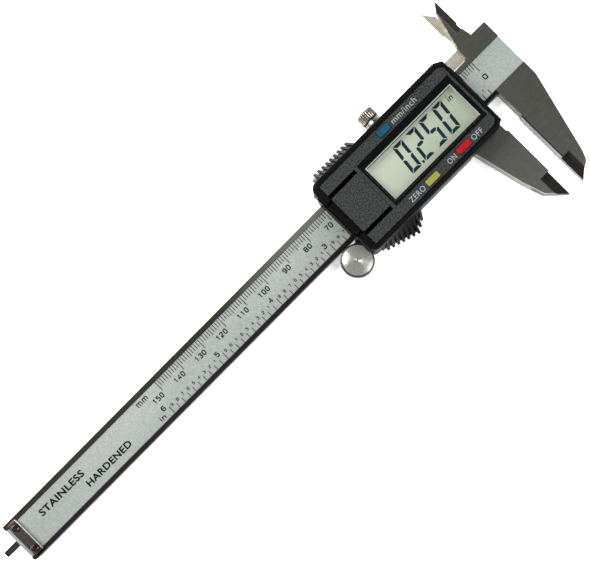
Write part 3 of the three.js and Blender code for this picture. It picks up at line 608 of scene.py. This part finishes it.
def scale_numbers():
    outlines = []
    for i in range(1, 16):
        wide = (4.5 if i > 9 else 3.0) * MM
        foot = SCALE_ZERO - i * 10 * MM - 0.7 * MM - wide
        outlines += number(str(i * 10), foot, MID_Y + 0.05 * MM, wide, DIGIT_TALL, DIGIT_STROKE, 0.3 * MM)
    outlines += number("0", ZERO_X + 0.3 * MM, MID_Y - 1.7 * MM, 1.65 * MM, DIGIT_TALL, 0.4 * MM, 0)
    for i in range(1, 61):
        x = SCALE_ZERO - i * INCH_TENTH
        if i % 10 == 0:
            text, left, foot, wide = str(i // 10), x - 2.5 * MM, MID_Y - 3.55 * MM, 1.45 * MM
            outlines += number(text, left, foot, wide, DIGIT_TALL, DIGIT_STROKE, 0)
        else:
            text, left, foot, wide = str(i % 10), x - 1.75 * MM, MID_Y - 4.25 * MM, 0.85 * MM
            outlines += number(text, left, foot, wide, SMALL_TALL, SMALL_STROKE, 0)
    return outlines


def scale_units():
    """Outlines of mm and in at the scale's tail end."""
    stroke = 0.36 * MM
    outlines = letters("mm", ZERO_X - 158.75 * MM, MID_Y + 3.3 * MM, 4.6 * MM, 1.55 * MM, stroke, 0.5 * MM)
    outlines += letters("in", ZERO_X - 156.45 * MM, MID_Y - 5.5 * MM, 2.2 * MM, 1.85 * MM, stroke, 0.45 * MM)
    return outlines


def scale_print():
    bottom, top = low("scale_label").y + 0.05 * MM, high("scale_label").y - 0.05 * MM
    face = high("scale_label").z
    roof = face + PRINT_THICK
    outlines = graduations(bottom, top) + scale_numbers() + scale_units()
    mesh = prisms("scale_print", outlines, face - PRINT_SINK, roof)
    shape = bmesh.new()
    shape.from_mesh(mesh)
    for text, left, foot, wide, tall in (
        ("STAINLESS", -207.05, 0.45, 20, 2.55),
        ("HARDENED", -188.85, -3.8, 20.1, 2.45),
    ):
        lettering(shape, text, ZERO_X + left * MM, MID_Y + foot * MM, wide * MM, tall * MM, roof,
                  PRINT_THICK + PRINT_SINK, bold=0.032)
    shape.to_mesh(mesh)
    shape.free()
    return mesh


piece("scale_print", scale_print(), ink_black, "beam")


# ---- the display's segments
SEGMENTS = {"0": "abcdef", "2": "abged", "5": "afgcd"}
READING = "0250"  # with a point after the first digit
LEAN = math.tan(math.radians(6.4))
DISPLAY_LEFT = ZERO_X - 40.7 * MM  # the first digit's left foot
DISPLAY_FOOT = MID_Y - 7.55 * MM
DIGIT_PITCH = 5.95 * MM
POINT_LEFT = ZERO_X - 35.8 * MM


def digit(which, left, bottom):
    """Outlines of one digit's lit segments, leaning to the right."""
    w, h, t, gap = 4.2 * MM, 10.75 * MM, 1.15 * MM, 0.18 * MM
    half, m = h / 2, t / 2
    shapes = {
        "a": [(gap, h), (w - gap, h), (w - t - gap, h - t), (t + gap, h - t)],
        "d": [(gap, 0), (t + gap, t), (w - t - gap, t), (w - gap, 0)],
        "f": [(0, h - gap), (t, h - t - gap), (t, half + m + gap), (m, half + gap), (0, half + gap)],
        "b": [(w, h - gap), (w, half + gap), (w - m, half + gap), (w - t, half + m + gap),
              (w - t, h - t - gap)],
        "e": [(0, gap), (0, half - gap), (m, half - gap), (t, half - m - gap), (t, t + gap)],
        "c": [(w, gap), (w - t, t + gap), (w - t, half - m - gap), (w - m, half - gap), (w, half - gap)],
        "g": [(m + gap, half), (t + gap, half + m), (w - t - gap, half + m), (w - m - gap, half),
              (w - t - gap, half - m), (t + gap, half - m)],
    }
    return [[(left + x + y * LEAN, bottom + y) for x, y in shapes[s]] for s in SEGMENTS[which]]


def display_segments():
    face = high("display_cell").z
    outlines = []
    for i, which in enumerate(READING):
        outlines += digit(which, DISPLAY_LEFT + i * DIGIT_PITCH, DISPLAY_FOOT)
    outlines.append(rectangle(POINT_LEFT, POINT_LEFT + 0.75 * MM, DISPLAY_FOOT, DISPLAY_FOOT + 1.0 * MM))
    foot = MID_Y + 0.6 * MM
    for outline in letters("in", ZERO_X - 15.9 * MM, foot, 1.9 * MM, 2.0 * MM, 0.34 * MM, 0.34 * MM):
        outlines.append([(x + (y - foot) * LEAN, y) for x, y in outline])
    return prisms("display_segments", outlines, face + 0.005 * MM, face + 0.03 * MM)


piece("display_segments", display_segments(), segment_ink, "slider")


# ---- the window's black margin, the painted highlight line inside its left, top and right edges, and the painted shadow line under the top one
WINDOW_FOOT = 0.4 * MM  # how far the window's hidden foot stands out all round
WINDOW_LEFT = low("display_window").x + WINDOW_FOOT
WINDOW_RIGHT = high("display_window").x - WINDOW_FOOT
WINDOW_LOW = low("display_window").y + WINDOW_FOOT
WINDOW_TOP = high("display_window").y - WINDOW_FOOT
WINDOW_FIT = 0.1 * MM  # the gap round the window
MARGIN = 0.45 * MM
RIM_WIDE = 0.34 * MM
# painted shadow: the width of the dark line painted under the upper highlight line
SHADOW_GAP = 0.26 * MM  # the dark line under the upper light line


def window_margin():
    """Black print along the left, right and lower edges, and a painted shadow line under the upper highlight
    line.
    """
    face = high("display_window").z
    outer_left, outer_right = WINDOW_LEFT - WINDOW_FIT, WINDOW_RIGHT + WINDOW_FIT
    left, right, low_edge = WINDOW_LEFT + MARGIN, WINDOW_RIGHT - MARGIN, WINDOW_LOW + MARGIN
    under = WINDOW_TOP - RIM_WIDE
    outlines = [
        rectangle(outer_left, left, low_edge, WINDOW_TOP),
        rectangle(right, outer_right, low_edge, WINDOW_TOP),
        rectangle(outer_left, outer_right, WINDOW_LOW - WINDOW_FIT, low_edge),
        rectangle(left + RIM_WIDE, right - RIM_WIDE, under - SHADOW_GAP, under),
    ]
    return prisms("window_margin", outlines, face - 0.02 * MM, face + 0.02 * MM)


# painted highlight: a pale line inside the window's left, top and right edges, for the light its edge
# catches
def window_rim():
    face = high("display_window").z
    left, right = WINDOW_LEFT + MARGIN, WINDOW_RIGHT - MARGIN
    bottom, top = WINDOW_LOW + MARGIN, WINDOW_TOP
    inner_left, inner_right, under = left + RIM_WIDE, right - RIM_WIDE, top - RIM_WIDE
    outlines = [
        [(inner_right, bottom), (right, bottom), (right, top), (inner_right, under)],
        [(inner_right, under), (right, top), (left, top), (inner_left, under)],
        [(left, bottom), (inner_left, bottom), (inner_left, under), (left, top)],
    ]
    return prisms("window_rim", outlines, face - 0.02 * MM, face + 0.03 * MM)


piece("window_margin", window_margin(), ink_black, "slider")
piece("window_rim", window_rim(), painted_rim_highlight, "slider")


# ---- the words beside the buttons
def panel_print():
    shape = bmesh.new()
    roof, thick = high("face_panel").z + 0.02 * MM, 0.025 * MM
    for text, left, foot, wide, tall in (
        ("mm/inch", -34.05, 8.0, 10.6, 2.05),
        ("ZERO", -47.85, -14.15, 6.4, 1.85),
        ("ON", -30.6, -14.1, 3.4, 1.85),
        ("OFF", -19.8, -14.1, 4.5, 1.85),
    ):
        place = ZERO_X + left * MM, MID_Y + foot * MM
        lettering(shape, text, *place, wide * MM, tall * MM, roof, thick)
    mesh = bpy.data.meshes.new("panel_print")
    shape.to_mesh(mesh)
    shape.free()
    return mesh


piece("panel_print", panel_print(), ink_light, "slider")


# ---- turned and knurled pieces
GROOVE = (0.0, 0.5, 1.0, 0.5)  # how deep one tooth's groove is at each step round it


def knurled(name, profile, teeth, depth, axis="Z"):
    """A turned solid with straight knurling, round Z or Y.

    profile is a list of (radius, height, share): share is how much of the knurl's depth shows there.
    It starts and ends on the axis.
    """
    steps = teeth * len(GROOVE)
    shape = bmesh.new()
    rings = []
    for radius, height, share in profile:
        if radius == 0:
            rings.append([shape.verts.new((0, 0, height))])
            continue
        ring = []
        for i in range(steps):
            turn = 2 * math.pi * i / steps
            r = radius - depth * share * GROOVE[i % len(GROOVE)]
            ring.append(shape.verts.new((r * math.cos(turn), r * math.sin(turn), height)))
        rings.append(ring)
    for a, b in zip(rings, rings[1:]):
        for i in range(steps):
            j = (i + 1) % steps
            if len(a) == 1:
                shape.faces.new((a[0], b[i], b[j]))
            elif len(b) == 1:
                shape.faces.new((a[i], a[j], b[0]))
            else:
                shape.faces.new((a[i], a[j], b[j], b[i]))
    if axis == "Y":
        bmesh.ops.rotate(shape, verts=shape.verts, matrix=Matrix.Rotation(-math.pi / 2, 3, "X"))
    bmesh.ops.recalc_face_normals(shape, faces=shape.faces)
    mesh = bpy.data.meshes.new(name)
    shape.to_mesh(mesh)
    shape.free()
    mesh.shade_smooth()
    return mesh


def radius_from(s, centre, axis):
    """A shader's distance from the axis through centre, along Z or Y, in metres."""
    keep = (1, 1, 0) if axis == "Z" else (1, 0, 1)
    flat = s.add("ShaderNodeVectorMath", operation="MULTIPLY")
    s.feed(flat.inputs[0], s.scaled((1, 1, 1), offset=tuple(-v for v in centre)))
    flat.inputs[1].default_value = keep
    size = s.add("ShaderNodeVectorMath", operation="LENGTH")
    s.feed(size.inputs[0], flat.outputs[0])
    return size.outputs["Value"]


def turned_face(name, base, dark, centre, rim, pitch):
    """Turned steel: fine rings round an upright axis through centre, and painted shade, dark outside the
    rim's radius.
    """
    s = Shader(name)
    away = radius_from(s, centre, "Z")
    rings = s.math("SINE", s.math("MULTIPLY", away, 2 * math.pi / pitch))
    marks = s.noise(s.place, 420, 3.0, 0.6)
    uneven = s.noise(s.place, 1800, 3.0, 0.7)
    colour = s.mix(s.ramp(uneven, 0.3, 0.7), base, tuple(c * 0.8 for c in base))
    # painted shade: near black over the knurl and its chamfer, outside the rim's radius
    colour = s.mix(s.ramp(away, rim - 0.12 * MM, rim + 0.04 * MM), colour, dark)
    tangent = s.add("ShaderNodeTangent", direction_type="RADIAL", axis="Z")
    s.set(Base_Color=colour, Metallic=0.5, Roughness=s.ramp(marks, 0.3, 0.7, (0.24, 0.28)),
          Anisotropic=0.9, Anisotropic_Rotation=0.25, Tangent=tangent.outputs[0],
          Normal=s.bump(rings, 0.002 * MM, 0.6))
    return s.material


WHEEL_TEETH, WHEEL_KNURL = 64, 0.28 * MM
WHEEL_BORE, WHEEL_FACE = 1.15 * MM, 0.8 * MM  # the axle hole's radius, and the metal above it


def thumb_wheel():
    """The knurled wheel, closed at the top, with the lathe's centre mark."""
    centre, floor, roof = middle("thumb_wheel"), low("thumb_wheel").z, high("thumb_wheel").z
    r = (high("thumb_wheel").y - low("thumb_wheel").y) / 2
    a, b = floor - centre.z, roof - centre.z
    ceiling = b - WHEEL_FACE
    mesh = knurled("thumb_wheel_turned", [
        (0, ceiling, 0), (WHEEL_BORE, ceiling, 0), (WHEEL_BORE, a, 0),
        (r - 0.55 * MM, a, 0), (r - 0.1 * MM, a + 0.35 * MM, 0.4), (r, a + 0.55 * MM, 1),
        (r, b - 0.5 * MM, 1), (r - 0.1 * MM, b - 0.3 * MM, 0.4), (r - 0.4 * MM, b, 0),
        (0.5 * MM, b, 0), (0.4 * MM, b - 0.06 * MM, 0), (0, b - 0.2 * MM, 0),
    ], teeth=WHEEL_TEETH, depth=WHEEL_KNURL)
    mesh.transform(Matrix.Translation(centre))
    steel = turned_face("wheel_steel", base=(0.3, 0.302, 0.28), dark=(0.02, 0.02, 0.019), centre=centre,
                        rim=r - 0.65 * MM, pitch=0.3 * MM)
    obj = piece("thumb_wheel_turned", mesh, steel, "thumb_wheel")
    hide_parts("thumb_wheel")


thumb_wheel()


LOCK_TEETH, LOCK_KNURL = 24, 0.5 * MM
LOCK_HEAD, LOCK_COLLAR, LOCK_NECK, LOCK_THREAD = 3.3 * MM, 3.15 * MM, 2.6 * MM, 1.5 * MM  # radii
LOCK_SHOULDER = MID_Y + 13.35 * MM  # the collar starts here
LOCK_START = MID_Y + 15.9 * MM  # the head starts here


def knurled_chrome(name, centre):
    """Plated steel with painted shade: its knurl is painted dark in its grooves, and it is painted darker
    below the head.
    """
    s = Shader(name)
    away = radius_from(s, centre, "Y")
    marks = s.noise(s.place, 500, 3.0, 0.6)
    # painted shade: the knurl's grooves on the head
    groove = s.ramp(away, LOCK_HEAD - 0.34 * MM, LOCK_HEAD - 0.06 * MM, (1.0, 0.0))
    on_head = s.ramp(s.axis("Y"), LOCK_START - 0.25 * MM, LOCK_START - 0.05 * MM)
    colour = s.mix(s.ramp(marks, 0.3, 0.7), (0.75, 0.7, 0.62), (0.6, 0.55, 0.48))
    # painted shadow: everything below the head is painted darker
    colour = s.mix(on_head, (0.28, 0.26, 0.23), colour)
    colour = s.mix(s.math("MULTIPLY", groove, on_head), colour, (0.02, 0.017, 0.015))
    s.set(Base_Color=colour, Metallic=1.0, Roughness=s.ramp(marks, 0.3, 0.7, (0.2, 0.28)),
          Normal=s.bump(marks, 0.003 * MM, 0.4))
    return s.material


def lock_screw():
    """The lock screw along Y: thread, collar, neck and knurled head."""
    centre = middle("lock_screw")
    centre.y = 0
    top, tip = high("lock_screw").y, low("lock_screw").y
    head, collar, neck, thread = LOCK_HEAD, LOCK_COLLAR, LOCK_NECK, LOCK_THREAD
    start, shoulder = LOCK_START, LOCK_SHOULDER
    profile = [
        (0, tip, 0), (thread - 0.3 * MM, tip, 0), (thread, tip + 0.3 * MM, 0), (thread, shoulder, 0),
        (collar - 0.1 * MM, shoulder, 0), (collar, shoulder + 0.1 * MM, 0), (collar, start - 0.4 * MM, 0),
        (collar - 0.1 * MM, start - 0.3 * MM, 0), (neck, start - 0.3 * MM, 0), (neck, start, 0),
        (head - 0.5 * MM, start, 0), (head - 0.05 * MM, start + 0.35 * MM, 0.6), (head, start + 0.5 * MM, 1),
        (head, top - 0.6 * MM, 1), (head - 0.08 * MM, top - 0.4 * MM, 0.6), (head - 0.5 * MM, top, 0),
        (0, top, 0),
    ]
    mesh = knurled("lock_screw_knurled", profile, teeth=LOCK_TEETH, depth=LOCK_KNURL, axis="Y")
    mesh.transform(Matrix.Translation(centre))
    plated = knurled_chrome("lock_screw_plate", centre)
    obj = piece("lock_screw_knurled", mesh, plated, "lock_screw")
    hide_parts("lock_screw")


lock_screw()


# ---------------------------------------------------------------- stage, light and camera
FLOOR_HALF = 3.0  # metres
FLOOR_TOP, FLOOR_LOW = -0.2 * MM, -20 * MM
HORIZON, CEILING = 0.85, 0.1  # the surround's strength low down and overhead
TURN = 0.789  # the image's up, clockwise from +Y
LENS, SENSOR, SHIFT_X, SHIFT_Y = 51.31, 36, -0.07, 0.14
CAMERA_FROM = Vector((-101.21, -36.41, 285)) * MM  # from the jaw's face, on the beam's centre line
CAMERA_AT = Vector((-102.08, -33.33, 5)) * MM


def stage_floor():
    """A white sheet that gives back some light of its own, so that shadows on it stay pale."""
    outline = rectangle(-FLOOR_HALF, FLOOR_HALF, -FLOOR_HALF, FLOOR_HALF)
    floor = prisms("studio_floor", [outline], FLOOR_LOW, FLOOR_TOP)
    obj = bpy.data.objects.new("studio_floor", floor)
    bpy.context.scene.collection.objects.link(obj)
    s = Shader("studio_paper")
    fibre = s.noise(s.place, 900, 3.0, 0.6)
    s.set(Base_Color=s.mix(fibre, (0.93, 0.93, 0.93), (0.96, 0.96, 0.96)), Roughness=0.9,
          Emission_Color=(1.0, 1.0, 1.0, 1.0), Emission_Strength=0.5)
    floor.materials.append(s.material)


def area_light(name, place, size, power, colour):
    """A soft light that looks at the origin; size is across and up, in metres."""
    light = bpy.data.lights.new(name, "AREA")
    light.shape = "RECTANGLE"
    light.size, light.size_y = size
    light.energy = power
    light.color = colour
    obj = bpy.data.objects.new(name, light)
    obj.location = place
    obj.rotation_euler = (-Vector(place)).to_track_quat("-Z", "Y").to_euler()
    bpy.context.scene.collection.objects.link(obj)


def studio_world():
    """A pale surround with a darker ceiling, so that flat metal looks dark from above."""
    world = bpy.data.worlds.new("studio")
    world.use_nodes = True
    tree = world.node_tree
    place = tree.nodes.new("ShaderNodeTexCoord")
    split = tree.nodes.new("ShaderNodeSeparateXYZ")
    ramp = tree.nodes.new("ShaderNodeMapRange")
    ramp.interpolation_type = "SMOOTHSTEP"
    for socket, value in zip(ramp.inputs[1:], (0.45, 0.85, HORIZON, CEILING)):
        socket.default_value = value
    tree.links.new(place.outputs["Generated"], split.inputs[0])
    tree.links.new(split.outputs["Z"], ramp.inputs[0])
    tree.links.new(ramp.outputs[0], tree.nodes["Background"].inputs["Strength"])
    tree.nodes["Background"].inputs[0].default_value = (0.97, 0.985, 1.0, 1)
    bpy.context.scene.world = world


def camera():
    """Above the object and a little towards the big jaws, with the beam on the frame's diagonal."""
    lens = bpy.data.cameras.new("camera")
    lens.sensor_width = SENSOR
    lens.lens = LENS
    lens.shift_x = SHIFT_X
    lens.shift_y = SHIFT_Y
    lens.clip_start = 0.01
    lens.clip_end = 20
    obj = bpy.data.objects.new("camera", lens)
    datum = Vector((ZERO_X, MID_Y, 0))
    place = datum + CAMERA_FROM
    ahead = (datum + CAMERA_AT - place).normalized()
    up = Vector((math.sin(TURN), math.cos(TURN), 0))
    up = (up - ahead * up.dot(ahead)).normalized()
    right = ahead.cross(up)
    turn = Matrix((right, up, -ahead)).transposed()
    obj.matrix_world = Matrix.Translation(place) @ turn.to_4x4()
    bpy.context.scene.collection.objects.link(obj)
    bpy.context.scene.camera = obj


stage_floor()
area_light("key", (-0.63, 1.44, 1.35), (1.0, 1.8), 86, (1.0, 0.98, 0.95))
area_light("fill", (0.9, -1.69, 1.26), (1.4, 2.5), 66, (0.96, 0.98, 1.0))
studio_world()
bpy.context.scene.view_settings.view_transform = "Standard"
camera()
